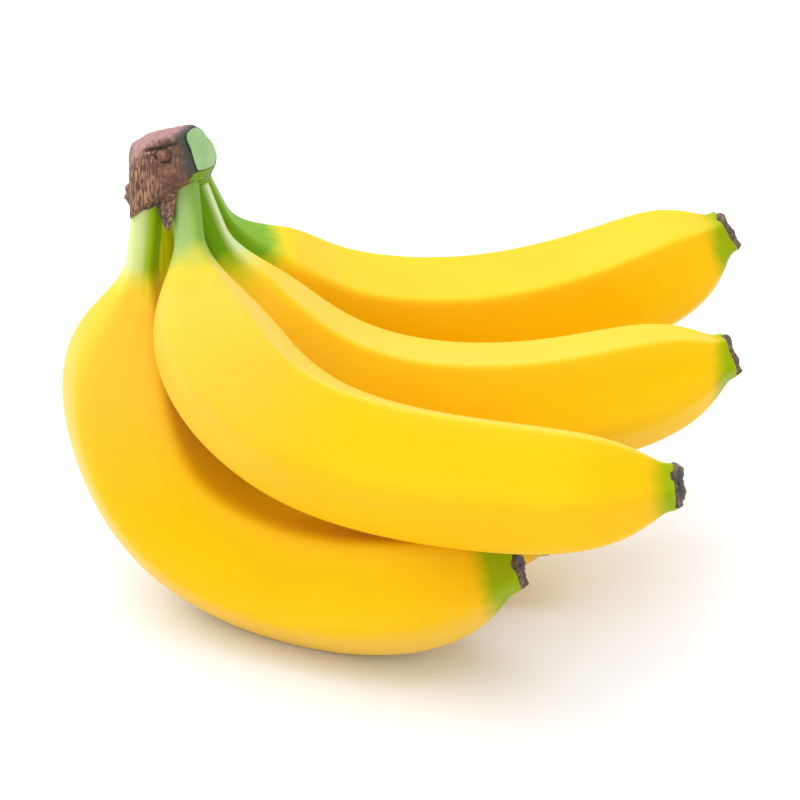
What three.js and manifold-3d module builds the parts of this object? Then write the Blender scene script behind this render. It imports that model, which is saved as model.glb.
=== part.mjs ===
// A bunch of five bananas on one crown, lying on a surface.
// Millimetres, +Z up. The origin is on the surface, in the middle of the bunch.
import * as THREE from "three";
import { mergeVertices } from "three/addons/utils/BufferGeometryUtils.js";
import Module from "manifold-3d";

const wasm = await Module();
wasm.setup();

// Driving dimensions
const gap = 0.3; // between pieces that touch
const middle = [4.16, 18.58]; // x and y of the bunch's middle in the frame the spines are measured in
const scarLength = 2.6; // dried flower remains on each tip
const rootDepth = 9; // how far a stalk runs on into the crown
const socketEnd = 0.14; // share of a banana's length that its socket is cut along

// Girth along a banana, as shares of its length and of its thickest radius
const neckShare = 0.24;
const neckSpread = 0.1;
const neckPower = 1.9;
const tipShare = 0.365;
const tipEnd = 0.026;
const tipPower = 1.1;
const bellyPlace = 0.48;
const bellyDrop = 0.22;

// Cross-section: five soft flats, so that five ridges run from stalk to tip
const flats = 5;
const bodySharpness = 12;
const endSharpness = 10;
const outerSoftness = 0.55; // ridges are rounder on the outer side of the bend by this share
const outerFullness = 0.028; // and the section is fuller there by this share
const ridgeRise = 0.5; // power by which the ridges sharpen from the ends to the body
const flatShare = 0.94; // a flat's distance from the spine, in radii

// Facets
const stretches = [
  { until: 0.08, count: 3 },
  { until: 0.27, count: 10 },
  { until: 0.86, count: 12 },
  { until: 1, count: 8 },
];
const sides = 25;
const scarSides = 20;
const spineSamples = 400;
const crownRows = 15;
const crownColumns = 26;
const weldDistance = 1e-4;

// Each banana: its thickest radius, the shares of its length where the neck ends and over which the
// tip fills out, and the points that its spine runs through, from crown to tip
const bananas = [
  {
    name: "banana_1_lower",
    radius: 19.3,
    neckEnd: 0.074,
    tipSpread: 0.056,
    spine: [
      [-69.1, 22.6, 114], [-72.7, 20, 88.5], [-76.2, 15.9, 63.5], [-68.5, 7.2, 37.5],
      [-50.4, -3.2, 22.4], [-24.2, -15.2, 18.2], [4, -27, 23.5], [33.6, -29, 31.6],
    ],
  },
  {
    name: "banana_2_front",
    radius: 17.9,
    neckEnd: 0.063,
    tipSpread: 0.07,
    spine: [
      [-58.6, 22, 118], [-55, 8, 95], [-45.9, -5.1, 78.1], [-28, -16.6, 65.8],
      [-4, -26, 60.6], [22, -35, 60.6], [48, -43, 63], [72.8, -46, 66],
    ],
  },
  {
    name: "banana_3_middle",
    radius: 18.1,
    neckEnd: 0.07,
    tipSpread: 0.058,
    spine: [
      [-57, 37, 113], [-47, 33, 87], [-34, 29, 68], [-12, 25, 56],
      [14, 22, 52], [41, 21, 53.5], [68, 20, 60.5], [95, 22, 69.8],
    ],
  },
  {
    name: "banana_4_back",
    radius: 18.8,
    neckEnd: 0.07,
    tipSpread: 0.05,
    spine: [
      [-58, 54, 109], [-45.8, 61.5, 80.6], [-26.2, 68.9, 60.9], [0, 70.8, 54.4],
      [26, 72.8, 54.3], [51, 75.3, 58.8], [76, 77.3, 68.2], [100.2, 80, 82.3],
    ],
  },
  {
    name: "banana_5_under",
    radius: 16.2,
    neckEnd: 0.07,
    tipSpread: 0.06,
    spine: [
      [-66, 35, 108], [-65.8, 45.7, 80], [-60.6, 47.9, 53.5], [-47.4, 47, 33.8],
      [-27, 41, 20.2], [-5, 30.5, 15.8], [19, 15.5, 16.4], [43, -1, 23],
    ],
  },
];

// The crown: each flat's outward direction and a point that it passes through
const crownCentre = [-63, 30, 121];
const crownSharpness = 16;
const crownFlats = {
  front: { out: [-0.12, -0.98, 0.1], at: [-64, 15, 127] },
  left: { out: [-0.98, -0.1, 0.04], at: [-73, 20, 125] },
  topLeft: { out: [-0.75, -0.1, 0.62], at: [-72, 20, 129.6] },
  top: { out: [-0.28, -0.04, 0.96], at: [-62, 20, 136.8] },
  topRight: { out: [0.67, 0.45, 0.59], at: [-52, 21.2, 135.8] },
  topBack: { out: [-0.12, 0.6, 0.78], at: [-62, 25, 136] },
  right: { out: [0.98, 0.2, -0.02], at: [-49.5, 21.5, 130.5] },
  back: { out: [0.1, 0.98, 0.15], at: [-58, 60, 112] },
  backLeft: { out: [-0.7, 0.7, 0.1], at: [-70, 42, 118] },
  bottom: { out: [0.5, -0.42, -0.76], at: [-54, 15.5, 126.6] },
  bottomBack: { out: [-0.1, 0.1, -0.98], at: [-60, 46, 105] },
};
const crownCut = { out: [0.78, -0.52, 0.34], at: [-55.6, 15.1, 133.8] };
const barkRelief = 0.35;
const barkWaves = [[9, 0, 4], [0, 8, -5]]; // two crossing waves over the directions from the centre

// The brown skin that runs from the crown down over the front stalk to a point: its reach above and
// below the stalk's start, the direction it faces and half its spread at the top and at the point,
// and how it tapers and thins on the way down
const scab = {
  rise: 8,
  length: 9.5,
  facing: -0.85,
  halfAngle: 1.1,
  pointAngle: 0.06,
  taper: 1.4,
  thickness: 1.4,
  thinning: 0.6,
  underside: 0.05,
  rows: 7,
  columns: 6,
};

// The dried flower remains: its width as a share of the tip's, its rings from the tip out, how
// ragged each ring is, how far its rim rises and falls, and how far along its hollow reaches
const scar = {
  width: 0.9,
  levels: [
    { part: 0, radius: 0.93 },
    { part: 0.5, radius: 1.02 },
    { part: 1, radius: 0.9 },
  ],
  ragged: [
    { waves: 3, depth: 0.05 },
    { waves: 7, depth: 0.04 },
  ],
  rimWaves: 5,
  rimLift: 0.4,
  dimple: 0.45,
};

const peel = new THREE.MeshStandardMaterial({ color: 0xf7cf1d, roughness: 0.45, metalness: 0 });
const bark = new THREE.MeshStandardMaterial({ color: 0x7d5a48, roughness: 0.9, metalness: 0 });
const dryFlower = new THREE.MeshStandardMaterial({ color: 0x3f3a36, roughness: 0.95, metalness: 0 });

const vector = (xyz) => new THREE.Vector3(...xyz);
const inPlace = (xyz) => new THREE.Vector3(xyz[0] - middle[0], xyz[1] - middle[1], xyz[2]);

// A natural cubic spline through points at equal steps: solves the second differences of each
// coordinate, then blends the two nearest points and their bends
function smoothCurve(points) {
  const last = points.length - 1;
  const bends = points.map(() => new THREE.Vector3());
  const scale = new Array(points.length).fill(0);
  for (let i = 1; i < last; i++) {
    const pull = 4 - scale[i - 1];
    scale[i] = 1 / pull;
    const turn = points[i + 1].clone().addScaledVector(points[i], -2).add(points[i - 1]);
    bends[i] = turn.multiplyScalar(6).sub(bends[i - 1]).divideScalar(pull);
  }
  for (let i = last - 1; i > 0; i--) bends[i].addScaledVector(bends[i + 1], -scale[i]);
  return (share) => {
    const place = THREE.MathUtils.clamp(share, 0, 1) * last;
    const i = Math.min(Math.floor(place), last - 1);
    const b = place - i;
    const a = 1 - b;
    return new THREE.Vector3()
      .addScaledVector(points[i], a)
      .addScaledVector(points[i + 1], b)
      .addScaledVector(bends[i], (a ** 3 - a) / 6)
      .addScaledVector(bends[i + 1], (b ** 3 - b) / 6);
  };
}

// The spine by length: place and heading at a share of the way, with the run into the crown as
// shares below zero
function makeSpine(banana) {
  const curve = smoothCurve(banana.spine.map(inPlace));
  const samples = spineSamples;
  const walked = [0];
  for (let i = 1; i <= samples; i++) {
    walked.push(walked[i - 1] + curve(i / samples).distanceTo(curve((i - 1) / samples)));
  }
  const length = walked[samples];
  const pointAt = (share) => {
    if (share < 0) {
      const start = curve(0);
      const back = start.clone().sub(curve(1 / samples)).normalize();
      return start.addScaledVector(back, -share * length);
    }
    const target = share * length;
    let i = walked.findIndex((distance) => distance >= target);
    i = Math.max(i < 0 ? samples : i, 1);
    const part = (target - walked[i - 1]) / (walked[i] - walked[i - 1]);
    return curve((i - 1 + part) / samples);
  };
  const root = curve(0);
  const half = curve(0.5);
  const tip = curve(1);
  const across = half.clone().sub(root).cross(tip.clone().sub(half)).normalize();
  const frameAt = (share) => {
    const step = 0.002;
    const along = pointAt(share + step > 1 ? share : share + step).sub(pointAt(share - step)).normalize();
    const outer = across.clone().cross(along).negate().normalize();
    return { point: pointAt(share), along, outer, side: along.clone().cross(outer) };
  };
  return { length, frameAt };
}

// Rises from nothing to one past a place, softly at both ends
const swell = (share, start, spread, power) =>
  1 - Math.exp(-((Math.max(share - start, 0) / spread) ** power));

// Stalk, belly and tip in one profile: the share of the thickest radius at a share of the length
function girth(banana, share) {
  const neck = neckShare + (1 - neckShare) * swell(share, banana.neckEnd, neckSpread, neckPower);
  const tip = tipShare + (1 - tipShare) * swell(1 - share, tipEnd, banana.tipSpread, tipPower);
  return neck * tip * (1 - bellyDrop * (share - bellyPlace) ** 2);
}

// Distance to a soft flat-sided section in one direction: the soft minimum of its flats
function softFlats(angle, sharpness) {
  let sum = 0;
  for (let i = 0; i < flats; i++) {
    const facing = Math.cos(angle - ((i + 0.5) * 2 * Math.PI) / flats);
    if (facing > 0) sum += facing ** sharpness;
  }
  return flatShare / sum ** (1 / sharpness);
}

// A closed mesh from rings of points, with a middle point at each end
function closedLoft(ringPoints, startMiddle, endMiddle) {
  const around = ringPoints[0].length;
  const points = [startMiddle, ...ringPoints.flat(), endMiddle];
  const index = [];
  const at = (ring, i) => 1 + ring * around + (i % around);
  for (let i = 0; i < around; i++) {
    index.push(0, at(0, i + 1), at(0, i));
    for (let ring = 0; ring + 1 < ringPoints.length; ring++) {
      index.push(at(ring, i), at(ring, i + 1), at(ring + 1, i + 1));
      index.push(at(ring, i), at(ring + 1, i + 1), at(ring + 1, i));
    }
    index.push(at(ringPoints.length - 1, i), at(ringPoints.length - 1, i + 1), points.length - 1);
  }
  const geometry = new THREE.BufferGeometry().setFromPoints(points);
  geometry.setIndex(index);
  return geometry;
}

// Steps along a banana, closer together where the stalk widens and at the tip
function bananaSteps(first, last) {
  const steps = [first];
  for (const { until, count } of stretches) {
    const from = steps[steps.length - 1];
    const to = Math.min(until, last);
    for (let i = 1; i <= count; i++) steps.push(from + ((to - from) * i) / count);
  }
  return steps;
}

// From the spine to the skin at a share of the length, in the direction of an angle from the outer side
function skinRadius(banana, share, angle) {
  const body = Math.sin(Math.PI * THREE.MathUtils.clamp(share, 0, 1)) ** ridgeRise;
  const middling = endSharpness + (bodySharpness - endSharpness) * body;
  const sharpness = middling * (1 - outerSoftness * Math.cos(angle));
  const section = softFlats(angle, sharpness) * (1 + outerFullness * Math.cos(angle));
  return banana.radius * girth(banana, Math.max(share, 0)) * section;
}

function bananaRing(banana, spine, share, extra) {
  const { point, outer, side } = spine.frameAt(share);
  const ring = [];
  for (let i = 0; i < sides; i++) {
    const angle = (i * 2 * Math.PI) / sides;
    const radius = skinRadius(banana, share, angle) + extra;
    ring.push(
      point.clone()
        .addScaledVector(outer, Math.cos(angle) * radius)
        .addScaledVector(side, Math.sin(angle) * radius),
    );
  }
  return { ring, point };
}

function bananaGeometry(banana, spine) {
  const first = -rootDepth / spine.length;
  const last = 1 - scarLength / spine.length;
  const made = bananaSteps(first, last).map((share) => bananaRing(banana, spine, share, 0));
  return closedLoft(made.map(({ ring }) => ring), made[0].point, made[made.length - 1].point);
}

// The stalk with a gap all round it, on the stalk's own steps, to cut its socket in the crown
function socketGeometry(banana, spine) {
  const steps = bananaSteps(-rootDepth / spine.length, 1).filter((share) => share <= socketEnd);
  steps[0] = -(rootDepth + gap) / spine.length;
  const made = steps.map((share) => bananaRing(banana, spine, share, gap));
  return closedLoft(made.map(({ ring }) => ring), made[0].point, made[made.length - 1].point);
}

// The dried flower remains: a short ragged cup that stands on the tip
function scarGeometry(banana, spine, seed) {
  const start = 1 - (scarLength - gap) / spine.length;
  const upTo = (part) => start + (1 - start) * part;
  const levels = scar.levels.map(({ part, radius }) => ({ share: upTo(part), radius }));
  const ringPoints = levels.map(({ share, radius }, level) => {
    const { point, outer, side, along } = spine.frameAt(share);
    const ring = [];
    for (let i = 0; i < scarSides; i++) {
      const angle = (i * 2 * Math.PI) / scarSides;
      let across = banana.radius * tipShare * scar.width * radius;
      for (const { waves, depth } of scar.ragged) across *= 1 + depth * Math.sin(waves * (angle + seed));
      const rim = level === levels.length - 1;
      const lift = rim ? scar.rimLift * Math.sin(scar.rimWaves * angle + seed) : 0;
      ring.push(
        point.clone()
          .addScaledVector(outer, Math.cos(angle) * across)
          .addScaledVector(side, Math.sin(angle) * across)
          .addScaledVector(along, lift),
      );
    }
    return ring;
  });
  const bottom = spine.frameAt(start).point;
  const dimple = spine.frameAt(upTo(scar.dimple)).point;
  return closedLoft(ringPoints, bottom, dimple);
}

// The crown as a rounded block: in each direction the soft minimum of its flats, with a little bark
function crownBlock() {
  const centre = inPlace(crownCentre);
  const faces = Object.values(crownFlats).map(({ out, at }) => {
    const normal = vector(out).normalize();
    return { normal, distance: inPlace(at).sub(centre).dot(normal) };
  });
  const waves = barkWaves.map(vector);
  const surface = (direction) => {
    let sum = 0;
    for (const { normal, distance } of faces) {
      const facing = direction.dot(normal) / distance;
      if (facing > 0) sum += facing ** crownSharpness;
    }
    const rough = waves.reduce((product, wave) => product * Math.sin(wave.dot(direction)), barkRelief);
    return centre.clone().addScaledVector(direction, sum ** (-1 / crownSharpness) + rough);
  };
  const ringPoints = [];
  for (let row = 1; row < crownRows; row++) {
    const tilt = Math.PI * (1 - row / crownRows);
    const ring = [];
    for (let i = 0; i < crownColumns; i++) {
      const turn = (i * 2 * Math.PI) / crownColumns;
      ring.push(surface(vector([
        Math.sin(tilt) * Math.cos(turn), Math.sin(tilt) * Math.sin(turn), Math.cos(tilt),
      ])));
    }
    ringPoints.push(ring);
  }
  return closedLoft(ringPoints, surface(vector([0, 0, -1])), surface(vector([0, 0, 1])));
}

// The scab: a tapering strip wrapped on the front stalk, closed all round like a thin loft
function scabGeometry(banana, spine) {
  const ringPoints = [];
  for (let row = 0; row <= scab.rows; row++) {
    const down = row / scab.rows;
    const share = (-scab.rise + down * (scab.length + scab.rise)) / spine.length;
    const { point, outer, side } = spine.frameAt(share);
    const half = scab.halfAngle * (1 - down ** scab.taper) + scab.pointAngle;
    const thick = scab.thickness * (1 - scab.thinning * down);
    const rim = (t, lift) => {
      const angle = scab.facing + half * t;
      const radius = skinRadius(banana, share, angle) + gap + lift;
      return point.clone()
        .addScaledVector(outer, Math.cos(angle) * radius)
        .addScaledVector(side, Math.sin(angle) * radius);
    };
    const ring = [];
    for (let i = 0; i <= scab.columns; i++) ring.push(rim(-1 + (2 * i) / scab.columns, thick));
    for (let i = scab.columns; i >= 0; i--) ring.push(rim(-1 + (2 * i) / scab.columns, scab.underside));
    ringPoints.push(ring);
  }
  const middleOf = (ring) =>
    ring.reduce((sum, point) => sum.add(point), new THREE.Vector3()).divideScalar(ring.length);
  return closedLoft(ringPoints, middleOf(ringPoints[0]), middleOf(ringPoints[scab.rows]));
}

// To and from manifold-3d, for joins and cuts
function toSolid(geometry) {
  const bare = geometry.clone();
  bare.deleteAttribute("normal");
  bare.deleteAttribute("uv");
  const merged = mergeVertices(bare, weldDistance);
  return new wasm.Manifold(new wasm.Mesh({
    numProp: 3,
    vertProperties: new Float32Array(merged.attributes.position.array),
    triVerts: new Uint32Array(merged.index.array),
  }));
}

function toGeometry(solid) {
  const mesh = solid.getMesh();
  const geometry = new THREE.BufferGeometry();
  geometry.setAttribute("position", new THREE.BufferAttribute(new Float32Array(mesh.vertProperties), 3));
  geometry.setIndex(new THREE.BufferAttribute(new Uint32Array(mesh.triVerts), 1));
  return geometry;
}

// A big block on the far side of a plane, to cut a flat
function beyondPlane(at, out) {
  const size = 400;
  const block = new THREE.BoxGeometry(size, size, size);
  block.translate(0, 0, size / 2);
  const turn = new THREE.Quaternion().setFromUnitVectors(new THREE.Vector3(0, 0, 1), out.clone().normalize());
  return block.applyQuaternion(turn).translate(at.x, at.y, at.z);
}

const floor = toSolid(beyondPlane(new THREE.Vector3(), new THREE.Vector3(0, 0, -1)));

const bunch = new THREE.Group();
function addPiece(name, geometry, material) {
  geometry.computeVertexNormals();
  const mesh = new THREE.Mesh(geometry, material);
  mesh.name = name;
  bunch.add(mesh);
}

let crown = toSolid(crownBlock());
crown = crown.subtract(toSolid(beyondPlane(inPlace(crownCut.at), vector(crownCut.out))));
const spines = bananas.map(makeSpine);
crown = crown.add(toSolid(scabGeometry(bananas[1], spines[1])));
bananas.forEach((banana, i) => {
  crown = crown.subtract(toSolid(socketGeometry(banana, spines[i])));
});
addPiece("crown", toGeometry(crown), bark);

bananas.forEach((banana, i) => {
  const whole = toSolid(bananaGeometry(banana, spines[i]));
  addPiece(banana.name, toGeometry(whole.subtract(floor)), peel);
  addPiece(`flower_scar_${i + 1}`, scarGeometry(banana, spines[i], i + 1), dryFlower);
});

export default bunch;
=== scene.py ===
import bpy
import numpy as np
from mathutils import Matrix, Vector


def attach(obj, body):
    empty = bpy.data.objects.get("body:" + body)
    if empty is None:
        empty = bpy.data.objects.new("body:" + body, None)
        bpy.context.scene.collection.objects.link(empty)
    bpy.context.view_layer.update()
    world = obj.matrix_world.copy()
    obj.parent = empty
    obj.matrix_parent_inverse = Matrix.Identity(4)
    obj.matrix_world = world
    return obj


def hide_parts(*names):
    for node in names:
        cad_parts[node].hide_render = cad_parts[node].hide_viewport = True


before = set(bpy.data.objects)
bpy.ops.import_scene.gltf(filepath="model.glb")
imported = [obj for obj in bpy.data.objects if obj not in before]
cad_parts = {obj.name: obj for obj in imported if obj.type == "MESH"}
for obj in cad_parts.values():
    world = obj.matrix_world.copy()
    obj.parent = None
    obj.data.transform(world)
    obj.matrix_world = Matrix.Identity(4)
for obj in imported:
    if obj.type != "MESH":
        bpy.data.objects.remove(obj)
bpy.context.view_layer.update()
print("frame loaded:", len(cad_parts), "nodes")

mm = 0.001  # shapes are worked out in millimetres, as in the part's source, and meshes are in metres


# Helpers for curves, noise and meshes

# Eases from 0 at start to 1 at end: three times the square less twice the cube of the share between
def ease(value, start, end):
    share = np.clip((value - start) / (end - start), 0, 1)
    return share * share * (3 - 2 * share)


# The smaller of two surfaces, with the corner between them rounded over a reach
def softMin(a, b, reach):
    near = np.maximum(reach - np.abs(a - b), 0) / reach
    return np.minimum(a, b) - near * near * reach / 4


# The larger of two surfaces, rounded the same way
def softMax(a, b, reach):
    return -softMin(-a, -b, reach)


# Vectors divided by their own length
def unit(vectors):
    return vectors / np.linalg.norm(vectors, axis=-1, keepdims=True)


# Smooth noise from -1 to 1: random values on a cubic lattice, eased between the eight nearest
def latticeNoise(points, seed):
    size = 32
    table = np.random.default_rng(seed).uniform(-1, 1, (size, size, size))
    cell = np.floor(points).astype(int)
    part = points - cell
    part = part * part * (3 - 2 * part)
    total = np.zeros(points.shape[:-1])
    for corner in np.ndindex(2, 2, 2):
        share = np.prod(np.where(corner, part, 1 - part), axis=-1)
        x, y, z = np.moveaxis((cell + corner) % size, -1, 0)
        total = total + share * table[x, y, z]
    return total


# Two or more octaves of the noise, each half as wide and half as deep as the one before
def layeredNoise(points, seed, octaves=3):
    layers = [latticeNoise(points * 2**i + 7.3 * i, seed + i) / 2**i for i in range(octaves)]
    return sum(layers) / sum(0.5**i for i in range(octaves))


# A closed mesh from rings of points, wrapped round, with a middle point at each end.
# An attribute holds three values for every point, in the same order: first point, rings, last point
def closedMesh(name, rings, firstPoint, lastPoint, attributes):
    rows, around, _ = rings.shape
    points = np.concatenate([[firstPoint], rings.reshape(-1, 3), [lastPoint]]) * mm
    ring = np.arange(around)
    nextOne = (ring + 1) % around
    start = 1 + around * np.arange(rows - 1)[:, None]
    above = start + around
    sheet = np.stack([start + ring, start + nextOne, above + nextOne, above + ring], -1)
    top = 1 + around * (rows - 1)
    fanA = np.stack([np.zeros(around, int), 1 + nextOne, 1 + ring], -1)
    fanB = np.stack([top + ring, top + nextOne, np.full(around, len(points) - 1)], -1)
    faces = fanA.tolist() + sheet.reshape(-1, 4).tolist() + fanB.tolist()
    mesh = bpy.data.meshes.new(name)
    mesh.from_pydata(points.tolist(), [], faces)
    mesh.polygons.foreach_set("use_smooth", np.ones(len(faces), bool))
    for title, values in attributes.items():
        layer = mesh.attributes.new(title, "FLOAT_VECTOR", "POINT")
        layer.data.foreach_set("vector", np.ascontiguousarray(values, dtype=np.float32).ravel())
    mesh.update()
    piece = bpy.data.objects.new(name, mesh)
    bpy.context.scene.collection.objects.link(piece)
    return piece


# Values for every point of a closed mesh: the rings', between those of its two end points, which are
# the first and last rings' unless they are given
def withEnds(values, ends=None):
    ends = values[[0, -1], 0] if ends is None else ends
    return np.concatenate([ends[:1], values.reshape(-1, 3), ends[1:]])


# Coordinates for a pattern that closes round a tube: a circle's two and the way along
def tubePlace(circle, along):
    rows, around = np.broadcast(circle[..., 0], along).shape
    pair = np.broadcast_to(circle, (rows, around, 2))
    return np.concatenate([pair, np.broadcast_to(along, (rows, around))[..., None]], -1)


# Rings round a line: each point, moved along by a height and out by a radius at each angle
def ringsRound(line, angle, radius, height):
    point, along, outer, side = (value[:, None, :] for value in line)
    rings = point + height[..., None] * along
    rings = rings + (np.cos(angle) * radius)[..., None] * outer
    return rings + (np.sin(angle) * radius)[..., None] * side


# Gives a finished piece its material and its body, and hides the node that it replaces
def settle(piece, material, node):
    piece.data.materials.append(material)
    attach(piece, "root")
    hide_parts(node)


# Helpers for materials

# sRGB hex to linear colour
def linear(code):
    share = np.array([int(code[i : i + 2], 16) for i in (1, 3, 5)]) / 255
    value = np.where(share <= 0.04045, share / 12.92, ((share + 0.055) / 1.055) ** 2.4)
    return (*value.tolist(), 1.0)


# Adds a node: settings are its own properties, and an input takes a value or another node's output
def addNode(tree, kind, inputs=None, ramp=None, **settings):
    node = tree.nodes.new("ShaderNode" + kind)
    for key, value in settings.items():
        setattr(node, key, value)
    for key, value in (inputs or {}).items():
        if isinstance(value, bpy.types.NodeSocket):
            tree.links.new(value, node.inputs[key])
        else:
            node.inputs[key].default_value = value
    for i, (place, colour) in enumerate(ramp or []):
        stops = node.color_ramp.elements
        stop = stops[i] if i < 2 else stops.new(place)
        stop.position = place
        stop.color = colour
    return node


# A material with an empty node tree
def newMaterial(name):
    material = bpy.data.materials.new(name)
    material.use_nodes = True
    material.node_tree.nodes.clear()
    return material, material.node_tree


# Blends two colours by a factor; all three may come from other nodes
def blendColours(tree, factor, a, b):
    return addNode(tree, "Mix", {0: factor, 6: a, 7: b}, data_type="RGBA").outputs[2]


# Banana skin: a thin waxy peel, satin, with fibres along its length
peelLook = {
    "yellow": "#F1BE04",
    "deepYellow": "#EFB503",
    # the ridges' paler yellow, also the painted highlight on the lit side and near the neck
    "paleAndHighlightYellow": "#F2C54E",
    "stalkGreen": "#70A206",
    # painted highlight: the stalk's pale green on its lit side
    "stalkHighlight": "#DFEAB6",
    "stalkYellow": "#D6DA14",
    "tipGreen": "#93A703",
    "fleck": "#9C6A1C",
    "fibreWidth": 1.3,  # mm across a fibre bundle under the skin
    "fibreLength": 32,  # mm along it
    "patch": 26,  # mm, slow change from paler to deeper yellow
    "pore": 0.9,  # mm between pores; the real ones are finer than the picture shows
    "wander": 7,  # mm, how far apart the green's edge swings
    "sway": 1.6,  # mm that it swings to either side
    "fleckSpacing": 11,  # mm
    "ridgePale": 0.08,  # share of pale yellow on the ridges
    "roughness": 0.38,
    "gloss": 0.08,  # of a hard gloss's reflection: wax scatters most of it
    "bloom": 0.01,  # pale haze of wax towards the edges
    "stalkFade": 7,  # mm over which green turns yellow at the stalk
    "stalkDepth": 22,  # mm up the stalk to its purest green
    "tipFade": 3,
}


def peelMaterial():
    look = peelLook
    material, tree = newMaterial("ripe_banana_peel")
    place = addNode(tree, "TexCoord").outputs["Object"]
    around = addNode(tree, "Attribute", attribute_name="skinPlace").outputs["Vector"]
    zones = addNode(tree, "Attribute", attribute_name="skinZones").outputs["Vector"]
    fromStalk, fromTip, ridge = addNode(tree, "SeparateXYZ", {0: zones}).outputs
    tones = addNode(tree, "Attribute", attribute_name="skinTonesAndHighlights").outputs["Vector"]
    skinPaleAndHighlight, stalkHighlightShare, ripeStalk = addNode(tree, "SeparateXYZ", {0: tones}).outputs
    streaks = addNode(
        tree, "TexNoise", {"Vector": around, "Scale": 1.0, "Detail": 4.0, "Roughness": 0.55}
    )
    patches, pores, wander = (
        addNode(tree, "TexNoise", {"Vector": place, "Scale": 1 / (look[size] * mm), "Detail": 2.0})
        for size in ("patch", "pore", "wander")
    )

    # Yellow, deeper in slow patches and along some fibres, paler on the ridges, and paler by painted
    # highlight on the lit side and near the neck, where it is partly the neck's own later ripening
    patchShare = addNode(tree, "MapRange", {0: patches.outputs[0], 1: 0.35, 2: 0.7, 3: 0.0, 4: 0.6})
    deepYellow = linear(look["deepYellow"])
    yellow = blendColours(tree, patchShare.outputs[0], linear(look["yellow"]), deepYellow)
    fibreShare = addNode(tree, "MapRange", {0: streaks.outputs[0], 1: 0.35, 2: 0.7, 3: 0.0, 4: 0.4})
    yellow = blendColours(tree, fibreShare.outputs[0], yellow, deepYellow)
    ridgeShare = addNode(tree, "Math", {0: ridge, 1: look["ridgePale"]}, operation="MULTIPLY")
    paleShare = addNode(tree, "Math", {0: ridgeShare.outputs[0], 1: skinPaleAndHighlight}, operation="MAXIMUM")
    yellow = blendColours(tree, paleShare.outputs[0], yellow, linear(look["paleAndHighlightYellow"]))

    # A few faint brown flecks, as on any picked fruit
    cells = addNode(
        tree, "TexVoronoi", {"Vector": place, "Scale": 1 / (look["fleckSpacing"] * mm), "Randomness": 1.0}
    ).outputs["Distance"]
    fleckSpot = addNode(tree, "MapRange", {0: cells, 1: 0.025, 2: 0.05, 3: 0.18, 4: 0.0}).outputs[0]
    fleckPick = addNode(tree, "MapRange", {0: wander.outputs[0], 1: 0.56, 2: 0.62, 3: 0.0, 4: 1.0})
    fleckShare = addNode(tree, "Math", {0: fleckSpot, 1: fleckPick.outputs[0]}, operation="MULTIPLY")
    yellow = blendColours(tree, fleckShare.outputs[0], yellow, linear(look["fleck"]))

    # Green where the stalk begins and round the tip, with a wandering edge
    sway = addNode(
        tree, "MapRange", {0: wander.outputs[0], 1: 0.3, 2: 0.7, 3: -look["sway"], 4: look["sway"]}
    )
    stalkLine = addNode(tree, "Math", {0: fromStalk, 1: sway.outputs[0]}, operation="ADD")
    stalkTone = addNode(
        tree,
        "MapRange",
        {0: stalkLine.outputs[0], 1: -look["stalkDepth"], 2: look["stalkFade"] / 2, 3: 0.0, 4: 1.0},
    )
    # Painted highlight: the stalk's deep green turns pale on its lit side
    stalkGreen = blendColours(tree, stalkHighlightShare, linear(look["stalkGreen"]), linear(look["stalkHighlight"]))
    stalkTurn = addNode(tree, "MapRange", {0: stalkTone.outputs[0], 1: 0.6, 2: 1.0, 3: 0.0, 4: 1.0})
    stalkTurn = addNode(tree, "Math", {0: stalkTurn.outputs[0], 1: ripeStalk}, operation="MAXIMUM")
    stalkColour = blendColours(tree, stalkTurn.outputs[0], stalkGreen, linear(look["stalkYellow"]))
    stalkShare = addNode(
        tree,
        "MapRange",
        {0: stalkLine.outputs[0], 1: -look["stalkFade"], 2: look["stalkFade"], 3: 1.0, 4: 0.0},
        interpolation_type="SMOOTHSTEP",
    )
    colour = blendColours(tree, stalkShare.outputs[0], yellow, stalkColour)
    tipSway = addNode(tree, "Math", {0: sway.outputs[0], 1: 0.5}, operation="MULTIPLY")
    tipLine = addNode(tree, "Math", {0: fromTip, 1: tipSway.outputs[0]}, operation="ADD")
    tipShare = addNode(
        tree,
        "MapRange",
        {0: tipLine.outputs[0], 1: -look["tipFade"], 2: look["tipFade"], 3: 1.0, 4: 0.0},
        interpolation_type="SMOOTHSTEP",
    )
    colour = blendColours(tree, tipShare.outputs[0], colour, linear(look["tipGreen"]))

    # Satin wax: a little duller along the fibres, with pores and fibres as fine relief
    least, most = look["roughness"] - 0.05, look["roughness"] + 0.08
    rough = addNode(tree, "MapRange", {0: streaks.outputs[0], 1: 0.3, 2: 0.7, 3: least, 4: most})
    bump = None
    for relief, strength, depth in ((pores, 0.12, 0.08), (streaks, 0.15, 0.12)):
        settings = {"Strength": strength, "Distance": depth * mm, "Height": relief.outputs[0]}
        bump = addNode(tree, "Bump", settings | ({"Normal": bump.outputs[0]} if bump else {}))
    shader = addNode(
        tree,
        "BsdfPrincipled",
        {
            "Base Color": colour,
            "Roughness": rough.outputs[0],
            "IOR": 1.45,
            "Specular IOR Level": look["gloss"],
            "Sheen Weight": look["bloom"],
            "Sheen Roughness": 0.55,
            "Subsurface Weight": 0.12,
            "Subsurface Radius": (1.0, 0.6, 0.1),
            "Subsurface Scale": 1.5 * mm,
            "Normal": bump.outputs[0],
        },
    )
    addNode(tree, "OutputMaterial", {"Surface": shader.outputs[0]})
    return material


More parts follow.
